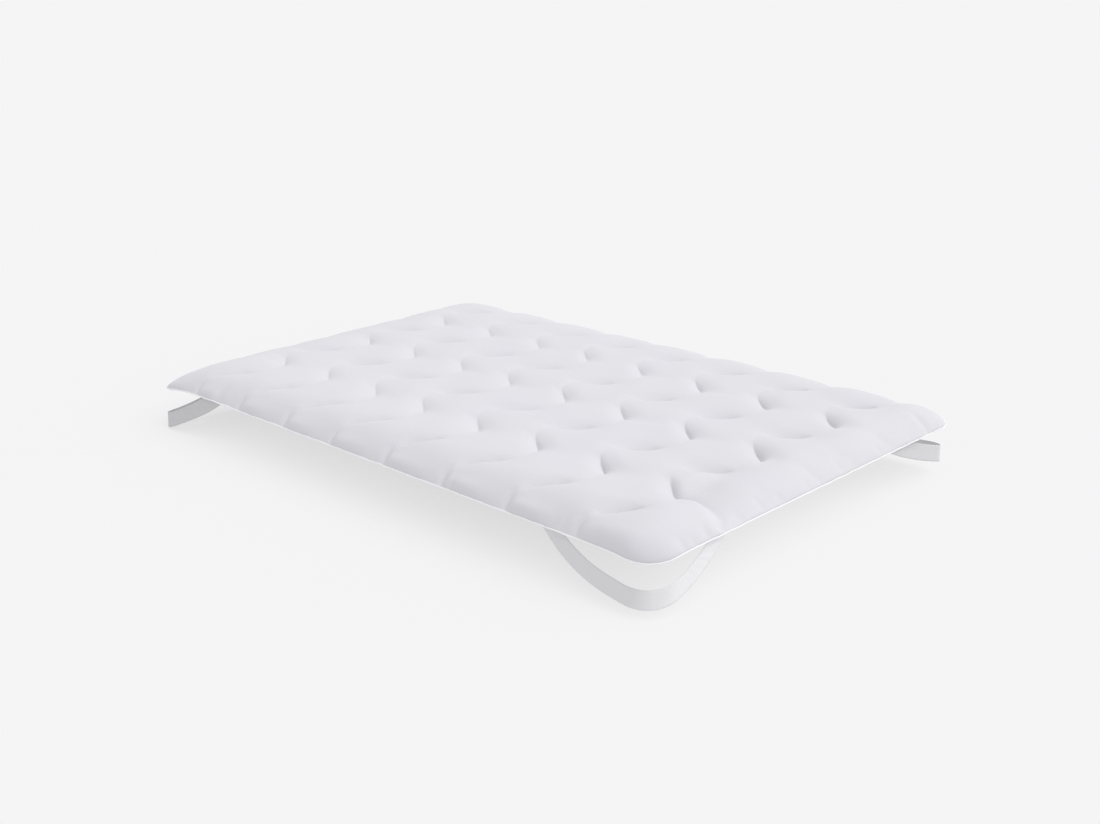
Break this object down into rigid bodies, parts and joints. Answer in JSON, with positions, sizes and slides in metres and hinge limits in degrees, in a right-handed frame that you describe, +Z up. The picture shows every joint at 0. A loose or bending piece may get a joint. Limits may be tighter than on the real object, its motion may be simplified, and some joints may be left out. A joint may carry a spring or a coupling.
{
  "type": "mattress topper",
  "caption": "Filled mattress topper quilted in parallel wave seams, with a piped edge and an elastic strap under each corner to hold it on a mattress.",
  "frame": {"origin": "middle of the flat underside, where the topper lies on its mattress", "axes": "+X along the long side, +Y along the short side towards the back, +Z up out of the quilted top"},
  "size_m": [2, 1.35, 0.209],
  "materials": {
    "cover_cloth": "smooth fine white cloth with a faint cool tint, matte",
    "piping_cloth": "bias-cut white cloth over a thin cord, matte",
    "strap_elastic": "ribbed woven elastic, pale grey-white, matte"
  },
  "bodies": {
    "root": {"quilted_body": "cover_cloth", "edge_piping": "piping_cloth", "strap_front_right": "strap_elastic", "strap_front_left": "strap_elastic", "strap_back_right": "strap_elastic", "strap_back_left": "strap_elastic"}
  },
  "joints": []
}
